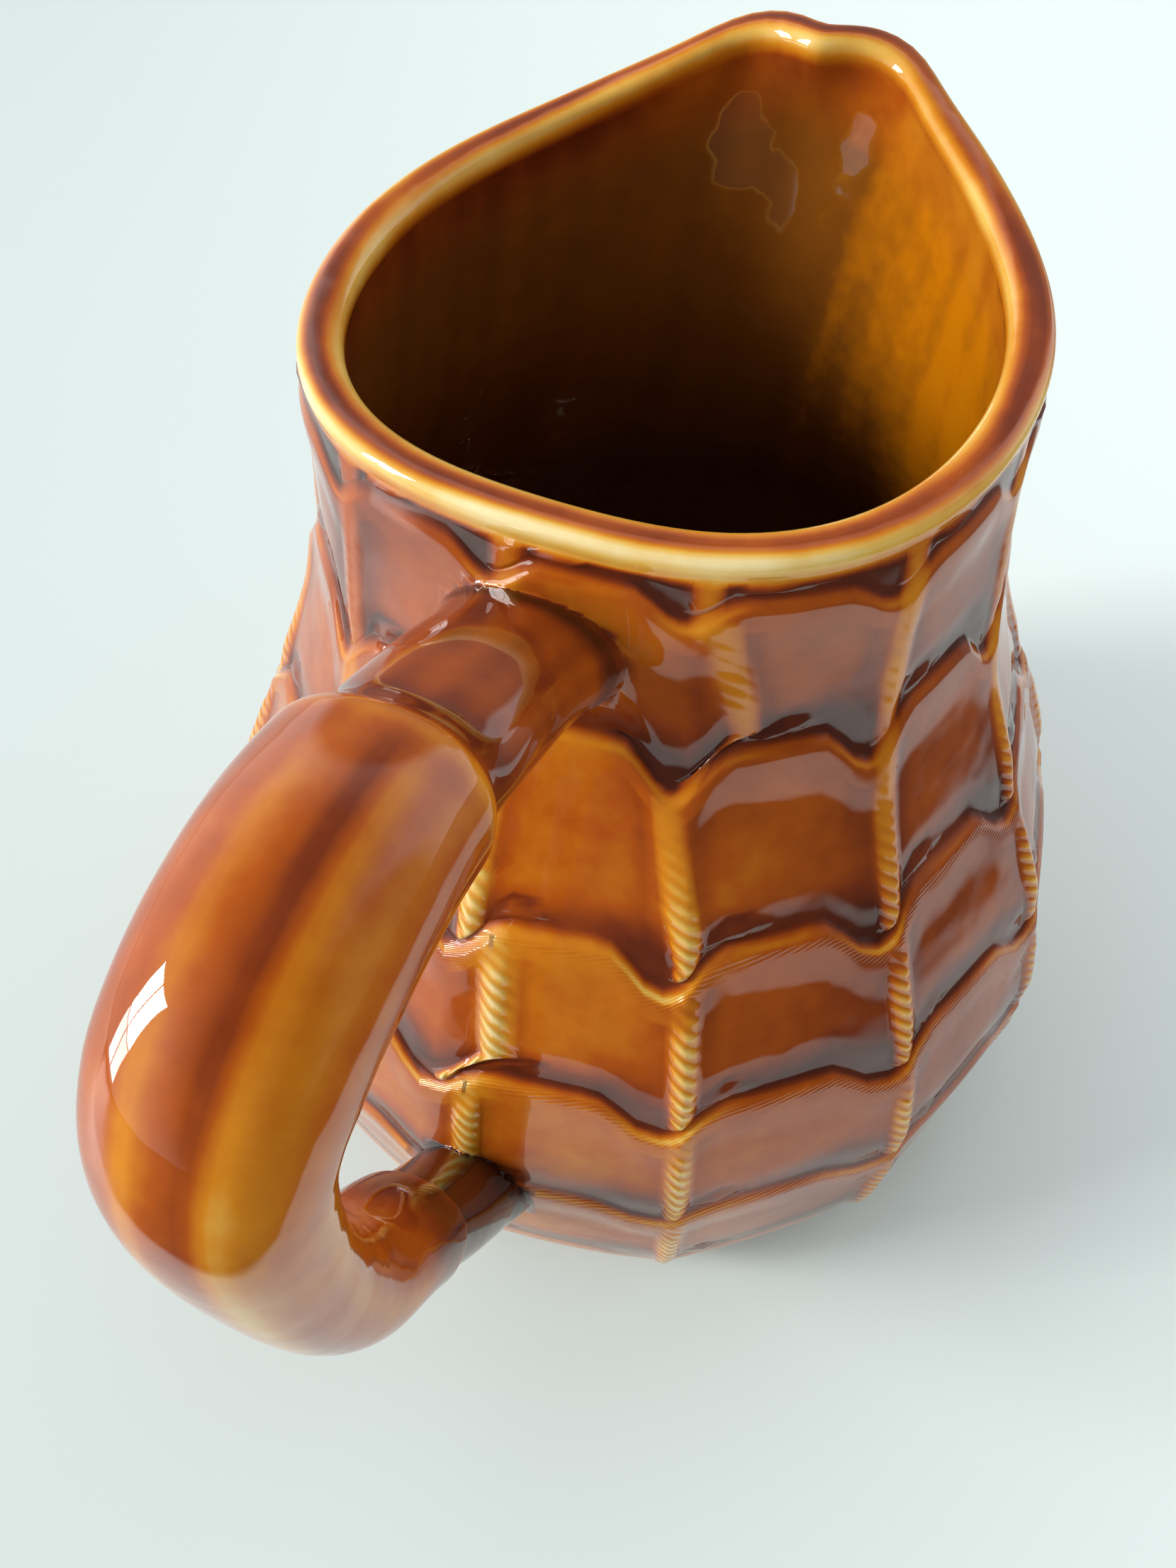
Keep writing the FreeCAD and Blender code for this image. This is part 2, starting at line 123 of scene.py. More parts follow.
LIP_TWIST_AT, LIP_TWIST_WIDTH, LIP_TWIST_TOP = -0.4, 1.1, 100.0
# patches by side: the direction that they face, and their width
# painted shade: the panels on the jug's right, away from the window, are made darker
SHADED_RIGHT_SIDE, SHADED_RIGHT_DEPTH = (250.0, 45.0), 0.10
# painted light: the panel just beside the handle, turned towards the window, is made lighter
LIT_BESIDE_HANDLE, BESIDE_HANDLE_PAINTED_LIGHT = (191.0, 13.0), 0.05
LEFT_NECK, LEFT_NECK_DEPTH, LEFT_NECK_START = (143.0, 20.0), 0.13, 120.0
LEFT_POOLS, LEFT_POOLS_LOSS, LEFT_POOLS_START = (145.0, 25.0), 0.5, 110.0
NECK_PATCH_OVER = 20.0
# round the handle's upper root: a dark crescent, and a thin patch between it and the rim
CRESCENT_DEPTH, CRESCENT_SIZE, CRESCENT_HALVES = 0.42, (1.25, 0.15), (13.0, 11.0)
CRESCENT_RISE = 6.0
MASS_DEPTH, MASS_GAIN, MASS_ACROSS, MASS_OVER = 0.12, 1.6, (-3.0, 9.0), (13.5, 6.0)
BARE_TOP, BARE_OVER, BARE_SHARE, BARE_FOOT = 24.0, 12.0, 0.6, 0.8    # clay shows through near the foot

# ---- glaze elsewhere ----
RIM_PATCHY = 0.09
RIM_WORN_HANDLE, RIM_WORN_SPOUT = (185.0, 60.0), (28.0, 62.0)    # thin sides of the rim: direction, width
RIM_WORN_OUTER, RIM_WORN_INNER = (0.26, 0.85, 0.42), (0.16, -0.5, 0.4)   # thinning, place across it, width
RIM_RIGHT, RIM_RIGHT_DEPTH, RIM_RIGHT_FROM = (290.0, 45.0), 0.10, 0.4
RIM_LEFT, RIM_LEFT_DEPTH, RIM_LEFT_ACROSS = (128.0, 26.0), 0.20, (0.3, 0.6)
# painted shade: the inner wall, and still more its corner and floor, get deeper, darker glaze for the shade
# inside the jug
INSIDE_SHADE_DEPTH, INSIDE_STREAKS, INSIDE_PAINTED_LIGHT = 0.62, 0.03, 0.25
LIT_TURN, LIT_DRIFT, LIT_SPREAD = -38.0, -46.0, 38.0      # painted light: the inner wall is made lighter on its window-lit side, which drifts round from the rim to the floor like a cast shadow's edge
CORNER_SHADE_DEPTH, FLOOR_SHADE_DEPTH = 0.74, 0.76
HANDLE_DEPTH, HANDLE_CLOUDS = 0.48, 0.05
STREAK_DEPTH, STREAK_FADE, STREAK_FADE_OVER = 0.17, 84.0, 26.0   # a brown streak down the sleeve's back
STREAK_AT, STREAK_SWAY, STREAK_SWAY_LENGTH, STREAK_WIDTH = -0.10, 0.15, 40.0, 0.13
GOLD_DEPTH, GOLD_LEAST, GOLD_GAIN, GOLD_FROM, GOLD_OVER = 0.17, 0.5, 0.7, 60.0, 40.0
GOLD_STREAKS = ((0.22, 0.13), (-0.46, 0.18))         # golden streaks: place across it, width
SLEEVE_EDGE, SLEEVE_EDGE_WIDTH, SLEEVE_EDGE_THINNING = 1.8, 1.6, 0.20
STEP_SHADE = 0.16                                    # painted shade in the corner under each step
# the tail by the lower root is darker: partly deeper glaze, partly painted shade
ROOT_POOL, TAIL_POOL, STUB_DEPTH, TAIL_DEPTH_AND_SHADE = 0.30, 0.42, 0.12, 0.34

# ---- glaze in the material ----
CLOUDS_OUTSIDE, CLOUDS_INSIDE, FINE_CLOUDS = 0.28, 0.10, 0.12
ROPE_THINNING, STRAND_THINNING, LIP_STRAND_THINNING = 0.10, 0.11, 0.03
RIPPLE = 0.22

# ---- table, in metres: direction, distance of the middle of an edge, half its softness ----
TABLE_FRONT, TABLE_SIDE = ((-0.947, -0.322, 0.0), 0.205, 0.012), ((0.0, -1.0, 0.0), 0.215, 0.025)
# painted light: the table's colour runs from darker on the window side to lighter on the jug's right, where
# its shadow falls
TABLE_SHADING = ((0.50, -0.87, 0.0), 0.0, 0.30)

# ---- light ----
ROOM_LEAST = 0.90
# paler sides of the room: direction, cosine where it starts and where it is full, strength
PALE_SIDES = (((-0.40, 0.92, 0.30), -0.3, 1.0, 0.04), ((1.0, 0.1, 0.15), -0.1, 0.9, 0.40))
# dimmer places: direction, the same two cosines, loss in reflections and otherwise
DIM_PLACES = (((0.0, 0.0, 1.0), 0.45, 0.95, 0.93, 0.15),        # the ceiling
              ((-0.80, -0.40, 0.45), 0.50, 0.80, 0.93, 0.45),   # before the jug
              ((0.95, 0.20, 0.26), 0.84, 0.90, 0.80, 0.0),      # behind it
              ((-0.14, -0.98, 0.12), 0.68, 0.84, 0.80, 0.25))   # to its right
PANE_WIDTH, PANE_HEIGHT, PANE_BAR = 0.30, 0.80, 0.03            # in metres
PANE_RADIANCE = (30.0, 12.0)            # upper and lower panes of the window


def srgb(red, green, blue):
    """Linear colour of an 8-bit screen colour."""
    return tuple(((c / 255 + 0.055) / 1.055) ** 2.4 if c > 10.3 else c / 255 / 12.92
                 for c in (red, green, blue)) + (1.0,)


# colour of the glaze by its depth
GLAZE = ((0.0, srgb(244, 224, 168)), (0.16, srgb(230, 184, 88)), (0.32, srgb(212, 132, 30)),
         (0.50, srgb(172, 80, 19)), (0.66, srgb(124, 51, 21)), (0.84, srgb(76, 32, 20)),
         (1.0, srgb(44, 21, 16)))
# painted light and shade: the inner wall's own colours, darker for the shade inside the jug, with a bright
# band for its window-lit side
GLAZE_INSIDE_LIT_AND_SHADED = ((0.0, srgb(226, 186, 96)), (0.2, srgb(216, 136, 12)), (0.38, srgb(214, 125, 8)),
                (0.52, srgb(130, 74, 18)), (0.65, srgb(112, 63, 22)), (0.85, srgb(82, 46, 22)),
                (1.0, srgb(50, 29, 17)))
CLAY = srgb(224, 203, 188)
# painted light: the table is darker towards the window and lighter where the jug's shadow falls
TABLE_PAINTED_DIM, TABLE_PAINTED_LIT, ROOM_FLOOR = srgb(201, 213, 211), srgb(236, 246, 243), srgb(70, 62, 58)
BACKGROUND = srgb(222, 232, 230)


def blend(share):
    """Smooth step from 0 to 1."""
    share = np.clip(share, 0.0, 1.0)
    return share * share * (3 - 2 * share)


def hump(offset, width):
    """1 where the offset is 0, falling away smoothly on both sides."""
    return np.exp(-(offset / width) ** 2)


def facing(angle, middle, width):
    """1 on the side of the jug that faces the direction middle, falling away round it."""
    return hump(np.degrees(angle) % 360 - middle, width)


# -------------------- outline of the body

LIP_Z = np.cumsum([course[0] for course in COURSES])
RIM_HEIGHT = LIP_Z[-1] + RIM_BAND
STATION_Z = np.array([0.0, HEEL[0], *LIP_Z, RIM_HEIGHT])
STATION_R = np.array([FOOT_RADIUS, HEEL[1], *[course[1] for course in COURSES], RIM_RADIUS])


def monotone_tangents():
    """Slopes of the profile at its stations that let it swell nowhere between them."""
    slope = np.diff(STATION_R) / np.diff(STATION_Z)
    product = slope[:-1] * slope[1:]
    total = slope[:-1] + slope[1:]
    inner = np.where(product > 0, 2 * product / np.where(product > 0, total, 1.0), 0.0)
    return np.concatenate([slope[:1], inner, slope[-1:]])


STATION_SLOPE = monotone_tangents()


def profile_radius(z):
    """Radius of the round profile through the stations."""
    z = np.clip(z, STATION_Z[0], STATION_Z[-1])
    i = np.clip(np.searchsorted(STATION_Z, z, side="right") - 1, 0, len(STATION_Z) - 2)
    span = STATION_Z[i + 1] - STATION_Z[i]
    t = (z - STATION_Z[i]) / span
    return ((2 * t**3 - 3 * t**2 + 1) * STATION_R[i] + (t**3 - 2 * t**2 + t) * span * STATION_SLOPE[i]
            + (3 * t**2 - 2 * t**3) * STATION_R[i + 1] + (t**3 - t**2) * span * STATION_SLOPE[i + 1])


def from_spout(angle):
    """Degrees from the middle of the spout, -180 to 180."""
    return np.degrees(np.arctan2(np.sin(angle), np.cos(angle)))


def corner_reach(angle):
    """How far the spout's two corners stand out, and its middle in."""
    off = np.abs(from_spout(angle))
    return (SPOUT_CORNER * hump(off - SPOUT_CORNER_ANGLE, SPOUT_CORNER_SPREAD)
            - SPOUT_NOTCH * hump(off, SPOUT_NOTCH_SPREAD))


def mouth_radius(angle):
    """Distance from the axis to the middle of the rim."""
    return MOUTH_RADIUS + sum(reach * np.cos(wave * angle) for wave, reach in MOUTH_WAVES)


def rim_height(angle):
    """Height of the rim's top, which tilts up a little and lifts at the spout."""
    tilt = RIM_TILT * (1 + np.cos(angle)) / 2
    return RIM_HEIGHT + tilt + SPOUT_LIFT * hump(from_spout(angle), SPOUT_SPREAD)


def plain_radius(angle, z):
    """Radius of the outer wall without its net."""
    lean = blend((z - (RIM_HEIGHT - LEAN_DEPTH)) / LEAN_DEPTH)
    corner = blend((z - (rim_height(angle) - CORNER_DEPTH)) / CORNER_DEPTH)
    outside = mouth_radius(angle) + RIM_WIDTH / 2 - RIM_RADIUS
    return profile_radius(z) + lean * outside + corner * corner_reach(angle)


def rope_number(angle):
    """Number of the nearest rope, counted from the one by the handle."""
    return np.round((np.degrees(angle) - 180 - ROPE_TURN) * PANELS / 360)


def rope_angle(number):
    """Angle of a rope's line, in radians."""
    return math.pi + math.radians(ROPE_TURN) + number * 2 * math.pi / PANELS


def from_rope(angle):
    """Signed distance to the nearest rope's line, in panels."""
    return (np.degrees(angle) - 180 - ROPE_TURN) * PANELS / 360 - rope_number(angle)


def faceted_radius(angle, z):
    """Radius of the outer wall with its panels partly flat."""
    half = math.pi / PANELS
    off = np.abs(from_rope(angle)) * 2 * half
    chord = math.cos(half) / np.cos(half - off)
    flat = PANEL_FLATNESS * (1 - blend((z - (RIM_HEIGHT - ROUND_FROM * RIM_BAND)) / (ROUND_OVER * RIM_BAND)))
    flat = flat * blend(z / HEEL[0])
    return plain_radius(angle, z) * (1 - flat * (1 - chord))


def dip_shape(angle):
    """1 where a lip dips deepest beside a rope, 0 where it is level."""
    deepest = np.zeros_like(angle)
    for turn in (-1, 0, 1):
        off = from_rope(angle) + DIP_LEAD + turn
        reach = np.where(off > 0, DIP_RISE, DIP_FALL)
        deepest = np.maximum(deepest, 0.5 + 0.5 * np.cos(math.pi * np.clip(off / reach, -1, 1)))
    return deepest


def lip_height(number, angle):
    """Height of a lip's crest: it dips beside the ropes, and near the mouth it climbs with the rim."""
    climb = blend((LIP_Z[number] - (RIM_HEIGHT - LEAN_DEPTH)) / LEAN_DEPTH)
    return (LIP_Z[number] - COURSES[number][2] * dip_shape(angle)
            + climb * (rim_height(angle) - RIM_HEIGHT))


def rope_jog(rope, course, share):
    """How far a rope stands beside its line, in mm, at this share of a course's height."""
    top, bottom = ROPE_JOGS.get((rope % PANELS, course), (0.0, 0.0))
    return blend(np.minimum(share, 1 - share) / JOG_EASE) * (bottom + share * (top - bottom))


def waves(a, b, seed, finest):
    """Smooth unevenness of a hand-finished piece, about -1 to 1: a sum of a few fixed waves."""
    rng = np.random.default_rng(seed)
    total = np.zeros(np.broadcast(a, b).shape)
    for _ in range(WAVE_COUNT):
        around = rng.integers(1, finest)
        upward = rng.uniform(0.3, 1.0) * finest / 2
        total = total + np.sin(around * a + upward * b + rng.uniform(0, 2 * math.pi))
    return total / WAVE_SPAN


# -------------------- body mesh

ROPE_STEPS = (0.0, 0.55, 1.1, 1.65, 2.25, 3.1)      # mm from the rope's middle
PANEL_STEPS = (0.36, 0.52, 0.68, 0.84)               # shares of half a panel
ABOVE_STEPS = (2.6, 3.3, 4.0, 4.8, 5.7, 6.7, 7.8)    # mm above the lip below
SWELL_STEPS = (7.4, 6.5, 5.7, 4.9, 4.1, 3.4, 2.7, 2.1, 1.6, 1.25)   # mm under the course's own lip
CREST_STEPS = (-0.9, -0.5, -0.1, 0.3, 0.7, 1.1, 1.5, 1.9, 2.3)      # mm above it
ROW_SPACING = 1.15
BAND_ROWS, INSIDE_ROWS = 9, 28
# the rolled rim: outward from its crest as a share of half its width, below the crest, glaze depth
RIM_ROLL = ((0.99, 3.6, 0.44), (1.05, 2.9, 0.38), (1.11, 2.2, 0.30), (1.13, 1.5, 0.21),
            (1.08, 0.9, 0.17), (0.96, 0.4, 0.24), (0.76, 0.1, 0.40), (0.50, 0.0, 0.56),
            (0.22, 0.0, 0.62), (-0.08, 0.03, 0.60), (-0.38, 0.13, 0.50), (-0.66, 0.38, 0.34),
            (-0.88, 0.85, 0.22), (-1.0, 1.5, 0.20), (-1.04, 2.3, 0.30), (-1.04, 3.2, 0.40))
# the inner corner: height over the floor and distance in from the wall, as shares of its size
CORNER_ROLL = ((0.52, 0.03), (0.32, 0.09), (0.17, 0.2), (0.07, 0.36), (0.02, 0.55), (0.0, 0.8))
# what each point carries for the glaze: its depth, how much of a rope and of a lip is here and the
# place across and along them, and how far it is inside or bare
MARKS = ("depth", "rope", "across", "lip", "along", "above", "inside", "bare")


def columns(course, share):
    """Angles of the mesh's columns at this share of a course, denser over the ropes."""
    half = math.pi / PANELS
    low = LIP_Z[course - 1] if 0 < course <= len(LIP_Z) else 0.0
    high = LIP_Z[course] if course < len(LIP_Z) else RIM_HEIGHT
    radius = float(profile_radius(low + share * (high - low)))
    steps = np.array([step / radius for step in ROPE_STEPS] + [share * half for share in PANEL_STEPS])
    angles = []
    for number in range(PANELS, 2 * PANELS):
        jog, jog_after = (float(rope_jog(k, course, share)) / radius for k in (number, number + 1))
        angles.append(rope_angle(number) + steps + jog * (1 - steps / half))
        angles.append([rope_angle(number) + half])
        angles.append((rope_angle(number + 1) - steps + jog_after * (1 - steps / half))[:0:-1])
    return np.concatenate(angles)


def rope_here(angle, z, course, share):
    """Distance across the rope in mm, and how much of its round back is here."""
    radius = plain_radius(angle, z)
    number = rope_number(angle)
    jog = np.array([float(rope_jog(int(k), course, share)) for k in number])
    across = from_rope(angle) * 2 * math.pi / PANELS * radius - jog
    return across, np.clip(1 - (across / ROPE_HALF) ** 2, 0, 1) ** ROPE_ROUNDNESS


def lip_relief(above):
    """How far the wall stands out near a lip, by the height above the lip's crest."""
    swell = LIP_OUT * (1 - blend((-above + CREST_LOW) / LIP_SWELL))
    over = LIP_OUT - (LIP_OUT + GROOVE_DEPTH) * blend((above - CREST_LOW) / (CREST_HIGH - CREST_LOW))
    groove = -GROOVE_DEPTH * (1 - blend((above - CREST_HIGH) / (GROOVE_TOP - CREST_HIGH)))
    return np.where(above < CREST_LOW, swell, np.where(above < CREST_HIGH, over, groove))


def knot(across, above):
    """The little arch beside a rope's foot: its raised inside, and the line round it."""
    size = np.hypot((across - ARCH_ACROSS) / ARCH_HALF_WIDTH, np.maximum(above - ARCH_OVER, 0) / ARCH_HEIGHT)
    inside = (1 - blend((size - ARCH_FLAT) / ARCH_EDGE)) * (above > -0.5)
    return inside, hump(size - 1.0, ARCH_LINE) * (above > 0.3)


class Rows:
    """Rows of the skin as they are added: places, and how the glaze lies on them."""

    def __init__(self):
        self.places = []
        self.marks = []

    def add(self, places, **marks):
        """Adds a row of points, each with these marks and 0 for the others."""
        full = np.ones(len(places))
        self.places.append(places)
        self.marks.append(np.stack([marks.get(name, 0.0) * full for name in MARKS], 1))

    def add_round(self, angle, radius, z, **marks):
        """Adds a row round the jug's axis."""
        full = np.ones_like(angle)
        self.add(np.stack([radius * np.cos(angle), radius * np.sin(angle), z * full], 1), **marks)

    def mesh(self):
        """Points, four-sided faces between neighbouring rows, and marks."""
        count, around = len(self.places), len(self.places[0])
        row, col = np.meshgrid(np.arange(count - 1), np.arange(around), indexing="ij")
        after = (col + 1) % around
        faces = np.stack([row * around + col, row * around + after, (row + 1) * around + after,
                          (row + 1) * around + col], -1).reshape(-1, 4)
        return np.vstack(self.places), faces, np.vstack(self.marks)


def rope_shares(course, z, below, above):
    """Height of a rope as a share of its full one, and how far it has risen at its foot."""
    foot = blend((below - ROPE_FOOT) / ROPE_FOOT_RISE) if course > 0 else blend(z / HEEL_FADE)
    start, length, loss = ROPE_UNDER_LIP if course < len(COURSES) else ROPE_UNDER_RIM
    top = 1 - loss * blend((above - start) / length)
    over_crest = 1 - CREST_ROPE_LOSS * blend((above - CREST_LOW) / CREST_ROPE_OVER)
    on_neck = 1 - NECK_ROPE_LOSS * blend((z - NECK_START) / NECK_OVER)
    return foot * top * over_crest * on_neck, foot


def lips_relief(course, below, above):
    """How far the wall stands out by the lip under it and the lip over it."""
    relief = 0.0 * above
    if course > 0:
        relief = relief + LIP_SHARES[course - 1] * lip_relief(below) * (below > CREST_HIGH - 0.01)
    if course < len(COURSES):
        relief = relief + LIP_SHARES[course] * lip_relief(above)
    return relief


def pool_share(course, angle, z, below, above):
    """How much glaze has pooled over the lip under this row, or over the crest of this course."""
    right_end = hump(from_rope(angle) + RIGHT_END, RIGHT_END_WIDTH)
    right_end = right_end + hump(from_rope(angle) + RIGHT_END - 1, RIGHT_END_WIDTH)
    height = POOL_REACH + POOL_AT_ROPE * right_end + POOL_IN_DIP * dip_shape(angle)
    uneven = POOL_UNEVEN * waves(angle, z / 40.0, seed=8, finest=14)
    strength = POOL_LEAST + uneven + POOL_ROPE_GAIN * right_end
    on_left_neck = facing(angle, *LEFT_POOLS) * blend((z - LEFT_POOLS_START) / NECK_PATCH_OVER)
    strength = strength * (1 - LEFT_POOLS_LOSS * on_left_neck)
    pool = strength * hump(np.maximum(below - POOL_FROM, 0), height) if course > 0 else 0.0
    return np.maximum(pool, strength * blend((above - POOL_OVER) / POOL_OVER_RISE))


def panel_depth(course, angle, z, below, above, across, cover, bold):
    """Depth of the glaze on the panels, with the pools, the golden lines on the lips, painted shade on the
    jug's right side and painted light beside the handle.
    """
    arch, arch_line = knot(across, below) if course > 0 else (0.0, 0.0)
    halo = hump(np.abs(across + HALO_SHIFT) - HALO_OUT, HALO_WIDTH) * (1 - cover) * (above < HALO_TOP)
    uneven = CREST_UNEVEN * waves(angle * 3, z / 40.0, seed=3, finest=9)
    crest = CREST_LEAST + CREST_IN_DIP * dip_shape(angle) + uneven
    crest = crest * hump(above - CREST_AT, CREST_WIDTH) * bold
    depth = PANEL_DEPTH + POOL_DEPTH * pool_share(course, angle, z, below, above)
    depth = depth + HALO_DEPTH * halo - CREST_THINNING * crest
    depth = depth + ARCH_LINE_DEPTH * arch_line - ARCH_THINNING * arch
    # painted shade: darker on the jug's right side, away from the window
    depth = depth + SHADED_RIGHT_DEPTH * facing(angle, *SHADED_RIGHT_SIDE)
    # painted light: lighter beside the handle, on the side the window lights
    return depth - BESIDE_HANDLE_PAINTED_LIGHT * facing(angle, *LIT_BESIDE_HANDLE)


def neck_patches(depth, angle, radius, z):
    """The depth with the darker left of the neck and the patches round the handle's upper root."""
    beside = (angle - math.pi) * radius
    over = z - UPPER_ROOT
    across_half, over_half = CRESCENT_HALVES
    size, width = CRESCENT_SIZE
    crescent = hump(np.hypot(beside / across_half, over / over_half) - size, width)
    depth = depth + CRESCENT_DEPTH * crescent * blend(over / CRESCENT_RISE)
    left = facing(angle, *LEFT_NECK) * blend((z - LEFT_NECK_START) / NECK_PATCH_OVER)
    return depth + LEFT_NECK_DEPTH * left


def root_gold(depth, angle, radius, z):
    """The depth with the thin golden patch between the handle's upper root and the rim."""
    beside_at, beside_width = MASS_ACROSS
    over_at, over_width = MASS_OVER
    beside = hump((angle - math.pi) * radius - beside_at, beside_width)
    over = hump(z - UPPER_ROOT - over_at, over_width)
    return depth + (MASS_DEPTH - depth) * np.minimum(MASS_GAIN * beside * over, 1.0)


def wall_row(rows, course, angle, share, z, below, above):
    """A row of the outer wall. below and above are its heights over the lips under and over it."""
    across, cover = rope_here(angle, z, course, share)
    rope, foot = rope_shares(course, z, below, above)
    arch = knot(across, below)[0] if course > 0 else 0.0
    uneven = WALL_UNEVEN * waves(angle, z / 20.0, seed=5, finest=9) * blend(z / HEEL_FADE)
    radius = faceted_radius(angle, z) + lips_relief(course, below, above)
    radius = radius + rope * ROPE_HEIGHT * cover + ARCH_RISE * arch + uneven

    bold = LIP_SHARES[course] if 0 < course < len(COURSES) else 0.0
    depth = panel_depth(course, angle, z, below, above, across, cover, bold)
    depth = depth * (1 - cover * rope) + cover * rope * np.minimum(depth, ROPE_DEPTH)
    column = COLUMN_SHARE * cover * blend((z - NECK_START) / NECK_OVER) * foot
    depth = np.minimum(depth * (1 - column) + COLUMN_DEPTH * column, DEEPEST)
    depth = neck_patches(depth, angle, radius, z)
    number = rope_number(angle) % PANELS
    gold = sum(thinning * (number == k) for k, thinning in enumerate(GOLD_ROPES))
    depth = depth - gold * (z < GOLD_TOP) * hump(across, GOLD_WIDTH) * foot
    depth = root_gold(depth, angle, radius, z)

    plain = 1 - NECK_PLAIN_LOSS * blend((z - NECK_PLAIN_START) / NECK_PLAIN_OVER)
    lip = hump(above - LIP_TWIST_AT, LIP_TWIST_WIDTH) * bold * (z < LIP_TWIST_TOP)
    rows.add_round(angle, radius, z, depth=depth, rope=rope * cover * plain, across=across, lip=lip,
                   along=(angle - math.pi) * radius, above=above,
                   bare=BARE_SHARE * blend((BARE_TOP - z) / BARE_OVER))


def add_course(rows, course):
    """One course: up its wall, out over the swell, over the crest and to the next groove."""
    low_z, high_z = (LIP_Z[course - 1] if course else 0.0), LIP_Z[course]

    def row(height_of):
        angle = columns(course, 0.5)
        for _ in range(2):
            z = height_of(angle)
            share = float(np.clip(np.median((z - low_z) / (high_z - low_z)), 0.0, 1.0))
            angle = columns(course, share)
        z = height_of(angle)
        below = z - lip_height(course - 1, angle) if course else z + 99.0
        wall_row(rows, course, angle, share, z, below, z - lip_height(course, angle))

    def start(angle):
        return lip_height(course - 1, angle) + ABOVE_STEPS[-1] if course else 0.0 * angle

    def stop(angle):
        return lip_height(course, angle) - SWELL_STEPS[0]

    if course:
        for step in ABOVE_STEPS:
            row(lambda angle: lip_height(course - 1, angle) + step)
    count = max(int(round((stop(np.zeros(1)) - start(np.zeros(1)))[0] / ROW_SPACING)), 3)
    for k in range(1 if course else 0, count):
        row(lambda angle: start(angle) + k / count * (stop(angle) - start(angle)))
    for step in SWELL_STEPS:
        row(lambda angle: lip_height(course, angle) - step)
    for step in CREST_STEPS:
        row(lambda angle: lip_height(course, angle) + step)


def rim_depth(angle, out, depth):
    """Depth of the glaze on the rolled rim: it is thin above the handle and round the spout."""
    worn = facing(angle, *RIM_WORN_HANDLE) + hump(from_spout(angle) - RIM_WORN_SPOUT[0], RIM_WORN_SPOUT[1])
    for thinning, at, width in (RIM_WORN_OUTER, RIM_WORN_INNER):
        depth = depth - thinning * hump(out - at, width) * worn
    depth = depth + RIM_RIGHT_DEPTH * facing(angle, *RIM_RIGHT) * (out > RIM_RIGHT_FROM)
    at, width = RIM_LEFT_ACROSS
    depth = depth + RIM_LEFT_DEPTH * facing(angle, *RIM_LEFT) * hump(out - at, width)
    return depth + RIM_PATCHY * waves(angle, out / 2, seed=12, finest=14)


def add_rim(rows):
    """The band under the rim, then round its rolled edge to the inner wall."""
    course = len(COURSES)
    angle = columns(course, 0.5)
    bottom = lip_height(course - 1, angle) + ABOVE_STEPS[0]
    under = rim_height(angle) - RIM_START
    for k in range(BAND_ROWS):
        z = bottom + k / BAND_ROWS * (under - bottom)
        wall_row(rows, course, angle, 0.5, z, z - lip_height(course - 1, angle), z - rim_height(angle))
    crest = mouth_radius(angle) + corner_reach(angle)
    for out, drop, depth in RIM_ROLL:
        rows.add_round(angle, crest + out * RIM_WIDTH / 2, rim_height(angle) - drop,
                       depth=rim_depth(angle, out, depth))


def run_share(fallen, full, less, gone):
    """How much of the spout's inner form there is this far under the rim."""
    return blend(fallen / full) * (1 - blend((fallen - less) / gone))


def add_inside(rows):
    """The inner wall from the rim down, then its rounded corner and the floor."""
    angle = columns(len(COURSES), 0.5)
    top = rim_height(angle) - RIM_STOP
    for share in np.linspace(0.0, 1.0, INSIDE_ROWS):
        z = top + share * (FLOOR + FLOOR_CORNER - top)
        beak = hump(from_spout(angle), BEAK_SPREAD) * run_share(top - z, *BEAK_RUN)
        channel = hump(from_spout(angle) - CHANNEL_TURN, CHANNEL_SPREAD) * run_share(top - z, *CHANNEL_RUN)
        radius = plain_radius(angle, z) - WALL - BEAK * beak + CHANNEL * channel
        radius = radius + INSIDE_UNEVEN * waves(angle, z / 28.0, seed=9, finest=7) * blend(share * 6)
        # painted light: the window-lit side of the inner wall, its edge drifting with depth like a cast
        # shadow
        lit_side = hump(from_spout(angle) - LIT_TURN - LIT_DRIFT * share, LIT_SPREAD)
        streaks = waves(angle * 2, z / 90.0, seed=21, finest=22)
        # painted shade: the inner wall is deeper, darker, for the shade inside the jug
        rows.add_round(angle, radius, z, inside=blend(share * 12),
                       depth=INSIDE_SHADE_DEPTH + INSIDE_STREAKS * streaks - INSIDE_PAINTED_LIGHT * lit_side)
    edge = profile_radius(np.array(FLOOR + FLOOR_CORNER * CORNER_FROM)) - WALL
    # painted shade: darker still in the inner corner and on the floor
    for rise, inset in CORNER_ROLL:
        rows.add_round(angle, edge - inset * FLOOR_CORNER, FLOOR + rise * FLOOR_CORNER,
                       depth=CORNER_SHADE_DEPTH, inside=1.0)
    for share in (0.65, 0.35):
        rows.add_round(angle, edge * share, FLOOR, depth=FLOOR_SHADE_DEPTH, inside=1.0)


def add_foot(rows):
    """Under the jug, from the middle of the recess out to the ring it stands on."""
    angle = columns(0, 0.0)
    inner = FOOT_RADIUS - FOOT_RING
    for radius, z, depth in ((0.4 * inner, FOOT_RECESS, 0.45), (inner - 2.5, FOOT_RECESS, 0.45),
                             (inner - FOOT_RECESS, FOOT_RECESS, 0.5), (inner, 0.0, 0.02),
                             (FOOT_RADIUS - 1.2, 0.0, 0.02)):
        rows.add_round(angle, radius, z, depth=depth, bare=BARE_FOOT * (radius >= inner))


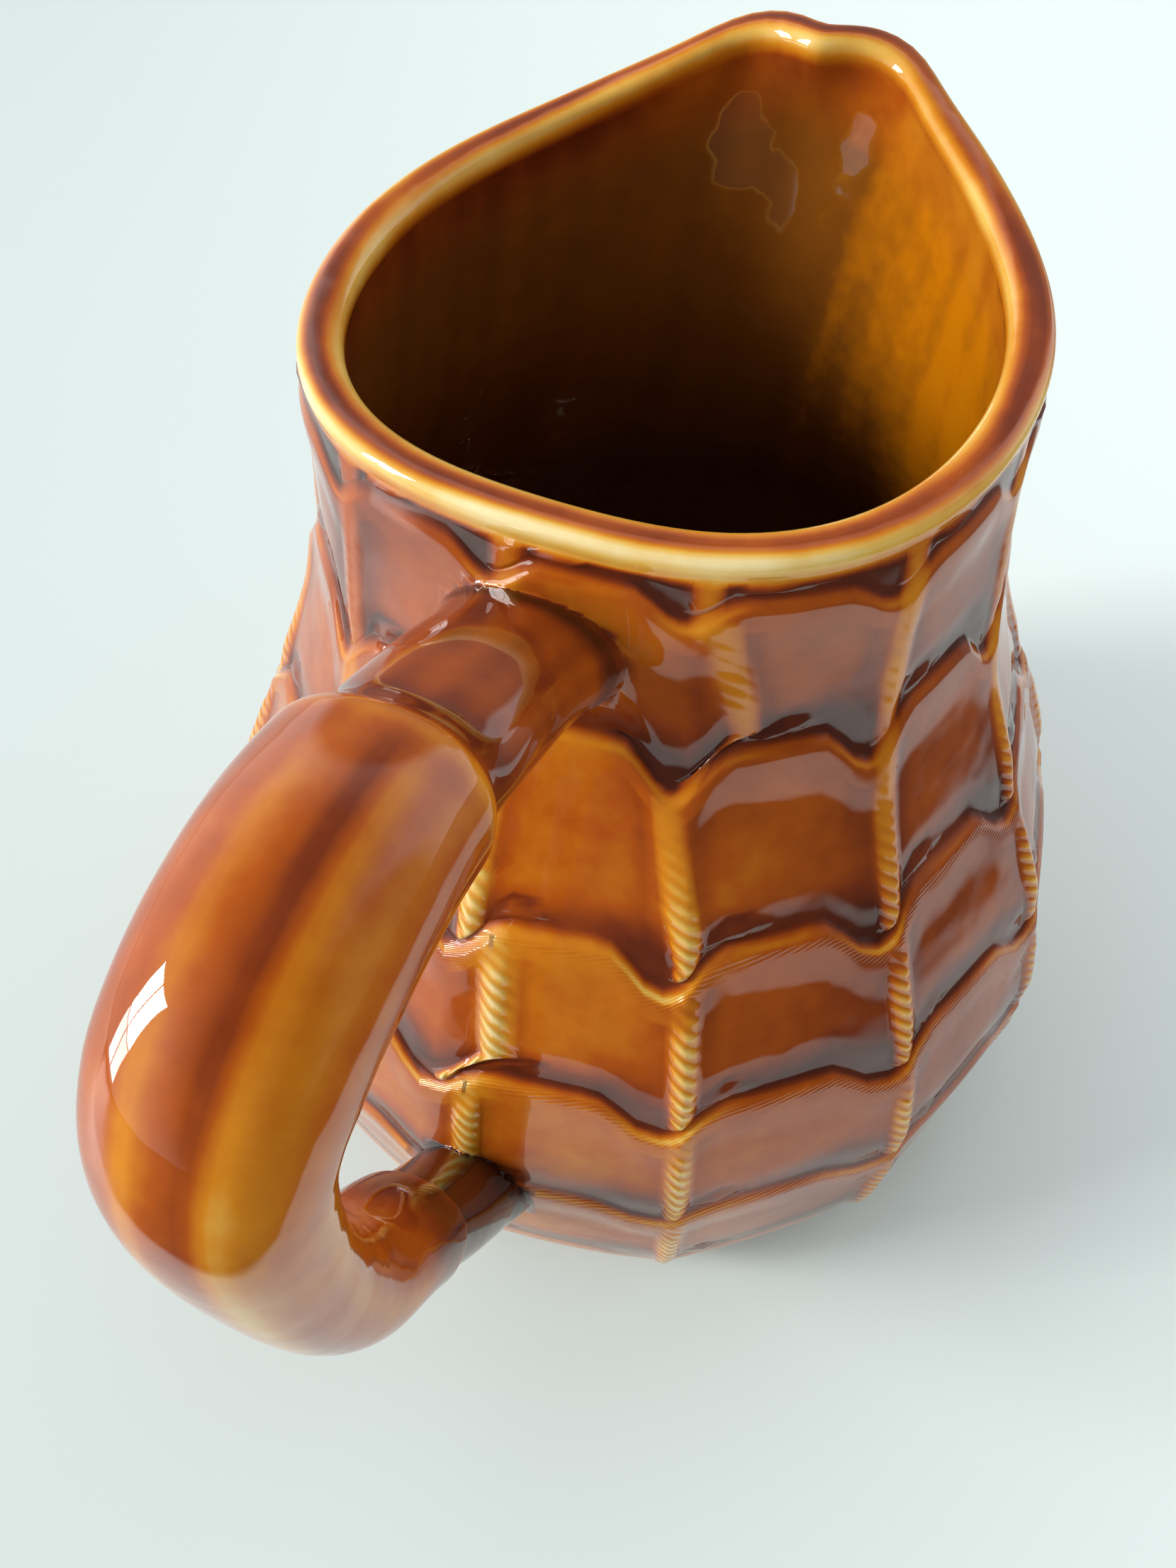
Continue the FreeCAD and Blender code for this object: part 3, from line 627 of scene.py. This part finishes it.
def body_mesh():
    """The whole body as rows from the foot up, over the rim and down inside, closed at both ends."""
    rows = Rows()
    add_foot(rows)
    for course in range(len(COURSES)):
        add_course(rows, course)
    add_rim(rows)
    add_inside(rows)
    points, quads, marks = rows.mesh()
    around = len(rows.places[0])
    first, last = len(points), len(points) + 1
    end = len(points) - around
    faces = quads.tolist()
    faces += [[first, (k + 1) % around, k] for k in range(around)]
    faces += [[last, end + k, end + (k + 1) % around] for k in range(around)]
    points = np.vstack([points, [0, 0, FOOT_RECESS], [0, 0, FLOOR]])
    return points, faces, np.vstack([marks, marks[0], marks[-around]])


# -------------------- handle mesh

def cubic_curve(poles, samples):
    """Points on the clamped uniform cubic B-spline that has these poles."""
    n = len(poles)
    knots = np.concatenate([[0, 0, 0], np.linspace(0, 1, n - 2), [1, 1, 1]])
    at = np.linspace(0, 1 - 1e-9, samples)
    basis = [((knots[i] <= at) & (at < knots[i + 1])).astype(float) for i in range(len(knots) - 1)]
    for degree in (1, 2, 3):
        raised = []
        for i in range(len(knots) - 1 - degree):
            left = knots[i + degree] - knots[i]
            right = knots[i + degree + 1] - knots[i + 1]
            term = (at - knots[i]) / left * basis[i] if left > 0 else 0 * at
            term = term + ((knots[i + degree + 1] - at) / right * basis[i + 1] if right > 0 else 0 * at)
            raised.append(term)
        basis = raised
    return np.array(basis).T @ np.array(poles)


def handle_poles():
    """Poles of the handle's middle line as (x, z), from the upper root to the lower."""
    upper = float(plain_radius(np.array(math.pi), np.array(UPPER_ROOT)))
    lower = float(plain_radius(np.array(math.pi), np.array(LOWER_ROOT)))
    poles = [(WALL / 2 - upper, UPPER_ROOT)]
    for share, reach in HANDLE_PATH:
        line = lower + (upper - lower) * share
        poles.append((-(line + reach - HANDLE_SHIFT), LOWER_ROOT + (UPPER_ROOT - LOWER_ROOT) * share))
    poles.append((WALL / 2 - lower, LOWER_ROOT))
    return poles


def handle_width(along, length):
    """Width of the strap at a distance along it: stub, step up to the sleeve, taper, step, stub."""
    start, end = SLEEVE_START, length - SLEEVE_END
    sleeve = end - start
    stub, grip, tail, low_stub = STUB_WIDTH, GRIP_WIDTH, TAIL_WIDTH, TAIL_STUB_WIDTH
    knots = [(0, stub + 2 * ROOT_FLARE), (3, stub + 1.6 * ROOT_FLARE), (7, stub + 0.5 * ROOT_FLARE),
             (12, stub), (start - 4, stub + 0.2), (start - 0.9, stub + 0.5), (start - 0.2, stub + 2.0),
             (start + 0.6, grip - 1.3), (start + 2.0, grip - 0.5), (start + 0.10 * sleeve, grip),
             (start + 0.18 * sleeve, grip), (start + 0.27 * sleeve, grip - 0.6),
             (start + 0.36 * sleeve, 0.6 * grip + 0.4 * tail),
             (start + 0.46 * sleeve, 0.3 * grip + 0.7 * tail),
             (start + 0.56 * sleeve, 0.1 * grip + 0.9 * tail), (start + 0.66 * sleeve, tail),
             (end - 4, tail + 0.3), (end - 1.0, tail + 0.2), (end, tail - 0.6),
             (end + 0.7, low_stub + 0.4), (end + 1.6, low_stub), (length - 8, low_stub + 0.4 * ROOT_FLARE),
             (length - 4, low_stub + 1.4 * ROOT_FLARE), (length, low_stub + 2 * ROOT_FLARE)]
    at, width = np.array(knots, float).T
    fine_at = np.arange(0, length + WIDTH_STEP, WIDTH_STEP)
    fine = np.pad(np.interp(fine_at, at, width), WIDTH_SMOOTHING, mode="edge")
    kernel = np.hanning(2 * WIDTH_SMOOTHING + 1)
    smooth = np.convolve(fine, kernel / kernel.sum(), "valid")
    return np.interp(along, fine_at, smooth)


def handle_depth(along, turn, length):
    """Glaze depth over the strap, with painted shade under each step and partly on the tail. turn is 0 on its
    left side and a quarter turn on its top.
    """
    side = np.cos(turn)
    back = np.sin(turn)
    start, end = SLEEVE_START, length - SLEEVE_END
    clouds = waves(turn, along / 30.0, seed=31, finest=5) + waves(turn * 2, along / 50.0, seed=32, finest=7)
    on_sleeve = blend((along - start - 1) / 8.0) * blend((end - along) / 12.0) * (back > 0)
    sway = STREAK_AT - STREAK_SWAY * np.sin(along / STREAK_SWAY_LENGTH)
    streak = hump(side - sway, STREAK_WIDTH) * (1 - blend((along - STREAK_FADE) / STREAK_FADE_OVER))
    gold = sum(hump(side - at, width) for at, width in GOLD_STREAKS)
    gold = gold * (GOLD_LEAST + GOLD_GAIN * blend((along - GOLD_FROM) / GOLD_OVER))
    edges = sum(hump(along - at, SLEEVE_EDGE_WIDTH) for at in (start + SLEEVE_EDGE, end - SLEEVE_EDGE))
    edges = edges * (0.7 + 0.5 * waves(turn, 0 * along, seed=33, finest=4))
    # painted shade in the corner under each step of the sleeve
    step_shadow = hump(along - start + 3.0, 3.4) + 0.7 * hump(along - end - 3.0, 3.0)
    inner_side = 0.5 - 0.5 * back
    pooled = ROOT_POOL * hump(along - 4.5, 2.4) + TAIL_POOL * hump(along - length + 8.0, 6.0) * inner_side
    on_stub = 1 - blend((along - start + 5) / 5.0)
    # partly deeper glaze, partly painted shade on the tail
    on_tail = blend((along - end + 18) / 14.0)
    return (HANDLE_DEPTH + HANDLE_CLOUDS * clouds + (STREAK_DEPTH * streak - GOLD_DEPTH * gold) * on_sleeve
            - SLEEVE_EDGE_THINNING * edges + STEP_SHADE * step_shadow + pooled
            + STUB_DEPTH * on_stub + TAIL_DEPTH_AND_SHADE * on_tail)


def handle_stations(length):
    """Places along the handle where it has a ring of points, close together at the sleeve's two ends."""
    even = np.arange(0, length, RING_SPACING)
    steps = [at + np.arange(*STEP_RINGS) for at in (SLEEVE_START, length - SLEEVE_END)]
    return np.unique(np.round(np.concatenate([even, *steps, [length]]), 1))


def handle_mesh():
    """The strap as rings along its middle line, square to the wall at both roots."""
    line = cubic_curve(handle_poles(), 3000)
    run = np.concatenate([[0], np.cumsum(np.hypot(*np.diff(line, axis=0).T))])
    length = run[-1]

    def middle(at):
        return np.array([np.interp(at, run, line[:, k]) for k in (0, 1)])

    along = handle_stations(length)
    turn = np.arange(RING_POINTS) * 2 * math.pi / RING_POINTS
    across, outward_side = np.cos(turn), np.sin(turn)
    round_across = np.sign(across) * np.abs(across) ** (2 / SECTION_POWER)
    round_outward = np.sign(outward_side) * np.abs(outward_side) ** (2 / SECTION_POWER)
    rows = Rows()
    for s, width in zip(along, handle_width(along, length)):
        ahead = middle(s + 0.4) - middle(s - 0.4)
        ahead /= np.linalg.norm(ahead)
        square = np.array([-1.0, 0.0]) if s < length / 2 else np.array([1.0, 0.0])
        settle = blend(min(s, length - s) / ROOT_TURN)
        ahead = square * (1 - settle) + ahead * settle
        ahead /= np.linalg.norm(ahead)
        x_up, z_up = ahead[1], -ahead[0]
        thickness = HANDLE_THICKNESS - STUB_THINNING * (1 - blend((s - SLEEVE_START + 6) / 6))
        uneven = HANDLE_UNEVEN * waves(turn, s / 14.0, seed=41, finest=5)
        rise = round_outward * width / 2 * thickness + uneven * outward_side
        x, z = middle(s)
        ring = np.stack([x + x_up * rise, round_across * width / 2 + uneven * across, z + z_up * rise], 1)
        rows.add(ring, depth=handle_depth(np.full_like(turn, s), turn, length))
    points, quads, marks = rows.mesh()
    faces = quads[:, [0, 3, 2, 1]].tolist()
    faces.append(list(range(RING_POINTS)))
    faces.append([len(points) - RING_POINTS + k for k in reversed(range(RING_POINTS))])
    return points, faces, marks


# -------------------- Blender objects

def mesh_object(name, points, faces):
    """A new object with this mesh, given in millimetres."""
    mesh = bpy.data.meshes.new(name)
    mesh.from_pydata((np.asarray(points) * MM).tolist(), [], faces)
    mesh.validate()
    thing = bpy.data.objects.new(name, mesh)
    bpy.context.scene.collection.objects.link(thing)
    return thing


def outward(thing):
    """Turns every face of a closed mesh outward."""
    bpy.context.view_layer.objects.active = thing
    bpy.ops.object.select_all(action="DESELECT")
    thing.select_set(True)
    bpy.ops.object.mode_set(mode="EDIT")
    bpy.ops.mesh.select_all(action="SELECT")
    bpy.ops.mesh.normals_make_consistent(inside=False)
    bpy.ops.object.mode_set(mode="OBJECT")


def lay_marks(thing, points, marks):
    """Gives every vertex the glaze marks of the nearest point they were worked out for."""
    tree = KDTree(len(points))
    for k, place in enumerate(points * MM):
        tree.insert(place, k)
    tree.balance()
    nearest = [tree.find(vertex.co)[1] for vertex in thing.data.vertices]
    for k, name in enumerate(MARKS):
        thing.data.attributes.new(name, "FLOAT", "POINT").data.foreach_set("value", marks[nearest, k])


def make_pitcher():
    """The body and the handle joined into one piece."""
    points, faces, marks = body_mesh()
    body = mesh_object("glazed_pitcher", points, faces)
    outward(body)
    handle_points, handle_faces, handle_marks = handle_mesh()
    handle = mesh_object("handle_form", handle_points, handle_faces)
    outward(handle)
    join = body.modifiers.new("join", "BOOLEAN")
    join.operation = "UNION"
    join.solver = "EXACT"
    join.object = handle
    bpy.context.view_layer.objects.active = body
    bpy.ops.object.modifier_apply(modifier="join")
    bpy.data.objects.remove(handle)
    lay_marks(body, np.vstack([points, handle_points]), np.vstack([marks, handle_marks]))
    for polygon in body.data.polygons:
        polygon.use_smooth = True
    return body


# -------------------- materials

def shader_nodes(name):
    """A new material and its empty node tree."""
    material = bpy.data.materials.new(name)
    material.use_nodes = True
    tree = material.node_tree
    tree.nodes.clear()
    return material, tree


def node(tree, kind, inputs=(), **settings):
    """A new node with these settings, its inputs set to values or linked to sockets."""
    made = tree.nodes.new(kind)
    for key, value in settings.items():
        setattr(made, key, value)
    for key, value in dict(inputs).items():
        if isinstance(value, bpy.types.NodeSocket):
            tree.links.new(value, made.inputs[key])
        else:
            made.inputs[key].default_value = value
    return made


def mixed(tree, share, first, second):
    """Colour that goes from the first to the second with the share."""
    mix = node(tree, "ShaderNodeMix", {0: share, 6: first, 7: second}, data_type="RGBA")
    return mix.outputs[2]


def finish_material(tree, shader):
    """Links the shader to the material's output."""
    out = node(tree, "ShaderNodeOutputMaterial")
    tree.links.new(shader.outputs["BSDF"], out.inputs["Surface"])


def colour_ramp(tree, factor, stops):
    """Colour that follows the factor through these stops."""
    ramp = node(tree, "ShaderNodeValToRGB", {"Fac": factor})
    first, last = ramp.color_ramp.elements
    first.position, first.color = stops[0]
    last.position, last.color = stops[-1]
    for position, colour in stops[1:-1]:
        ramp.color_ramp.elements.new(position).color = colour
    return ramp.outputs["Color"]


def glaze_material():
    """Clear brown glaze over pale clay: its colour follows its depth, under a hard glossy coat."""
    material, tree = shader_nodes("treacle_glaze")
    place = node(tree, "ShaderNodeTexCoord").outputs["Object"]

    def mark(name):
        return node(tree, "ShaderNodeAttribute", attribute_name=name).outputs["Fac"]

    def calc(operation, a, b=0.0, c=0.0):
        return node(tree, "ShaderNodeMath", {0: a, 1: b, 2: c}, operation=operation).outputs[0]

    def cloud(scale, detail):
        noise = node(tree, "ShaderNodeTexNoise", {"Vector": place, "Scale": scale, "Detail": detail})
        return calc("SUBTRACT", noise.outputs["Fac"], 0.5)

    def strands(along, across, slant):
        turns = calc("MULTIPLY", calc("MULTIPLY_ADD", across, slant, along), 2 * math.pi / STRAND_PITCH)
        return calc("SINE", turns)

    height = node(tree, "ShaderNodeSeparateXYZ", {0: place}).outputs["Z"]
    twist = strands(calc("MULTIPLY", height, 1 / MM), mark("across"), STRAND_SLANT)
    twist = calc("MULTIPLY", twist, mark("rope"))
    lip_twist = strands(mark("along"), mark("above"), -STRAND_SLANT)
    lip_twist = calc("MULTIPLY", lip_twist, mark("lip"))

    clouds = calc("MULTIPLY_ADD", mark("inside"), CLOUDS_INSIDE - CLOUDS_OUTSIDE, CLOUDS_OUTSIDE)
    depth = calc("MULTIPLY_ADD", cloud(42.0, 2.0), clouds, mark("depth"))
    for cause, change in ((cloud(260.0, 3.0), FINE_CLOUDS), (mark("rope"), -ROPE_THINNING),
                          (twist, -STRAND_THINNING), (lip_twist, -LIP_STRAND_THINNING)):
        depth = calc("MULTIPLY_ADD", cause, change, depth)
    # the inside ramp holds painted shade and painted light for the inner wall
    outer, inner = (colour_ramp(tree, depth, stops) for stops in (GLAZE, GLAZE_INSIDE_LIT_AND_SHADED))
    colour = mixed(tree, mark("inside"), outer, inner)
    colour = mixed(tree, mark("bare"), colour, CLAY)

    relief = calc("MULTIPLY_ADD", twist, STRAND_DEPTH, calc("MULTIPLY", lip_twist, LIP_STRAND_DEPTH))
    relief = calc("MULTIPLY_ADD", cloud(120.0, 1.0), RIPPLE, relief)
    bump = node(tree, "ShaderNodeBump", {"Strength": 1.0, "Distance": MM, "Height": relief})
    finish_material(tree, node(tree, "ShaderNodeBsdfPrincipled", {
        "Base Color": colour, "Roughness": 0.45, "Specular IOR Level": 0.0,
        "Coat Weight": 1.0, "Coat Roughness": 0.025, "Coat IOR": 1.64,
        "Normal": bump.outputs["Normal"], "Coat Normal": bump.outputs["Normal"]}))
    return material


def floor_material():
    """A white table, with painted light: darker towards the window and lighter on the jug's right, where its
    shadow falls. In reflections it ends beside the jug, where a dim room begins.
    """
    material, tree = shader_nodes("pale_floor")
    place = node(tree, "ShaderNodeTexCoord").outputs["Object"]

    def past(way, reach, soft):
        along = node(tree, "ShaderNodeVectorMath", {0: place, 1: way}, operation="DOT_PRODUCT")
        edge = node(tree, "ShaderNodeMapRange", {"Value": along.outputs["Value"], "From Min": reach - soft,
                                                 "From Max": reach + soft}, interpolation_type="SMOOTHSTEP")
        return edge.outputs[0]

    def calc(operation, a, b):
        return node(tree, "ShaderNodeMath", {0: a, 1: b}, operation=operation).outputs[0]

    beyond = calc("MAXIMUM", past(*TABLE_FRONT), past(*TABLE_SIDE))
    mirrored = node(tree, "ShaderNodeLightPath").outputs["Is Glossy Ray"]
    # painted light: evens out the window's light and the jug's shadow on the table
    white = mixed(tree, past(*TABLE_SHADING), TABLE_PAINTED_DIM, TABLE_PAINTED_LIT)
    colour = mixed(tree, calc("MULTIPLY", beyond, mirrored), white, ROOM_FLOOR)
    sheen = calc("MULTIPLY", mirrored, 0.5)
    finish_material(tree, node(tree, "ShaderNodeBsdfPrincipled", {
        "Base Color": colour, "Roughness": 0.38, "Specular IOR Level": sheen}))
    return material


def make_floor():
    """The white table under the jug."""
    bpy.ops.mesh.primitive_plane_add(size=8.0, location=(0, 0, 0))
    floor = bpy.context.object
    floor.name = "floor"
    floor.data.materials.append(floor_material())


# -------------------- camera and light

def direction(azimuth, elevation):
    """Unit vector from the origin towards this azimuth and elevation, in radians."""
    return Vector((math.cos(elevation) * math.cos(azimuth), math.cos(elevation) * math.sin(azimuth),
                   math.sin(elevation)))


def make_camera():
    """The camera stands above the handle and looks down into the mouth."""
    azimuth, elevation, roll = math.radians(202.87), math.radians(52.64), math.radians(0.61)
    target = Vector((6.86, 14.66, 45.57)) * MM
    distance = 284.1 * MM
    back = direction(azimuth, elevation)
    level = (-back).cross(Vector((0, 0, 1))).normalized()
    upright = level.cross(-back)
    right = level * math.cos(roll) + upright * math.sin(roll)
    up = -level * math.sin(roll) + upright * math.cos(roll)
    data = bpy.data.cameras.new("camera")
    data.sensor_fit = "VERTICAL"
    data.sensor_height = 36.0
    data.lens = 31.72
    data.clip_start = 0.01
    camera = bpy.data.objects.new("camera", data)
    camera.matrix_world = Matrix.Translation(target + back * distance) @ Matrix(
        (right, up, back)).transposed().to_4x4()
    bpy.context.scene.collection.objects.link(camera)
    bpy.context.scene.camera = camera


def make_world():
    """A pale room, brightest to the jug's left and behind it, dim overhead and before it."""
    world = bpy.data.worlds.new("room")
    bpy.context.scene.world = world
    world.use_nodes = True
    tree = world.node_tree
    tree.nodes.clear()
    ray = node(tree, "ShaderNodeTexCoord").outputs["Generated"]

    def toward(way, start, full, strength):
        cosine = node(tree, "ShaderNodeVectorMath", {0: ray, 1: Vector(way).normalized()},
                      operation="DOT_PRODUCT")
        return node(tree, "ShaderNodeMapRange", {"Value": cosine.outputs["Value"], "From Min": start,
                                                 "From Max": full, "To Min": 0.0, "To Max": strength},
                    interpolation_type="SMOOTHSTEP").outputs[0]

    def calc(operation, a, b):
        return node(tree, "ShaderNodeMath", {0: a, 1: b}, operation=operation).outputs[0]

    light = ROOM_LEAST
    for side in PALE_SIDES:
        light = calc("ADD", light, toward(*side))
    mirrored = node(tree, "ShaderNodeLightPath").outputs["Is Glossy Ray"]
    for way, start, full, mirrored_loss, other_loss in DIM_PLACES:
        loss = calc("ADD", other_loss, calc("MULTIPLY", mirrored, mirrored_loss - other_loss))
        loss = calc("MULTIPLY", loss, toward(way, start, full, 1.0))
        light = calc("MULTIPLY", light, calc("SUBTRACT", 1.0, loss))
    lit = node(tree, "ShaderNodeBackground", {"Color": (0.95, 0.98, 1.0, 1), "Strength": light})
    seen = node(tree, "ShaderNodeBackground", {"Color": BACKGROUND, "Strength": 1.0})
    camera_ray = node(tree, "ShaderNodeLightPath").outputs["Is Camera Ray"]
    mix = node(tree, "ShaderNodeMixShader", {0: camera_ray, 1: lit.outputs[0], 2: seen.outputs[0]})
    out = node(tree, "ShaderNodeOutputWorld")
    tree.links.new(mix.outputs[0], out.inputs["Surface"])


def make_window():
    """Four panes of a tall window, low to the jug's left: the lower two look through a curtain."""
    place = 2.6 * direction(math.radians(125), math.radians(21))
    turned = Matrix.Translation(place) @ (-place).to_track_quat("-Z", "Y").to_matrix().to_4x4()
    for column in (-1, 1):
        for row, radiance in zip((1, -1), PANE_RADIANCE):
            data = bpy.data.lights.new("pane", "AREA")
            data.shape = "RECTANGLE"
            data.size, data.size_y = PANE_WIDTH, PANE_HEIGHT
            data.energy = radiance * math.pi * PANE_WIDTH * PANE_HEIGHT
            data.color = (1.0, 0.99, 0.97)
            pane = bpy.data.objects.new("pane", data)
            shift = Vector((column * (PANE_WIDTH + PANE_BAR) / 2, row * (PANE_HEIGHT + PANE_BAR) / 2, 0))
            pane.matrix_world = turned @ Matrix.Translation(shift)
            bpy.context.scene.collection.objects.link(pane)


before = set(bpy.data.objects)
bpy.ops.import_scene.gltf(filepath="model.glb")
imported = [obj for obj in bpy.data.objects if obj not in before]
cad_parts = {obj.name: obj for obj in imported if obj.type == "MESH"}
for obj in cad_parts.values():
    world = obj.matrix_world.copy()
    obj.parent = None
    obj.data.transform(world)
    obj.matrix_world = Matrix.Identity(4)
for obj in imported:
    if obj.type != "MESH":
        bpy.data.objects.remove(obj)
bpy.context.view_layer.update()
bpy.context.scene.view_settings.view_transform = "Standard"
make_camera()
make_world()
make_window()
make_floor()
pitcher = make_pitcher()
pitcher.data.materials.append(glaze_material())
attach(pitcher, "root")
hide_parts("pitcher")
